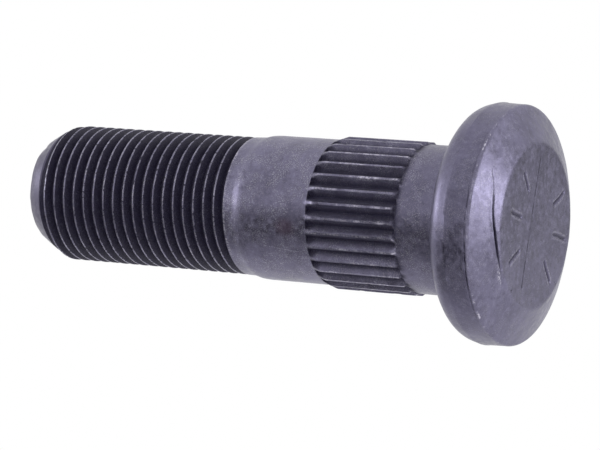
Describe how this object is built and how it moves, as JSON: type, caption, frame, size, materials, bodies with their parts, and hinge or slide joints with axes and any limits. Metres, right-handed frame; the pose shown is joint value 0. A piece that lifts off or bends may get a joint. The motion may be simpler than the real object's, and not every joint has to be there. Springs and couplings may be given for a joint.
{
  "type": "wheel stud",
  "caption": "Press-in wheel stud: forged round head, straight-knurled press section, plain shank and a fine right-hand thread with a chamfered tip.",
  "frame": {"origin": "centre of the seat under the head, on the stud's axis", "axes": "+Z along the stud's axis, from the head to the threaded tip; the stud stands on the end face of its head, which is its lowest face"},
  "size_m": [0.0318, 0.0318, 0.0741],
  "materials": {
    "phosphated_steel": "dark grey phosphate coating on forged steel, satin, with bright worn crests on the thread and the knurl"
  },
  "bodies": {
    "root": {"stud": "phosphated_steel"}
  },
  "joints": []
}
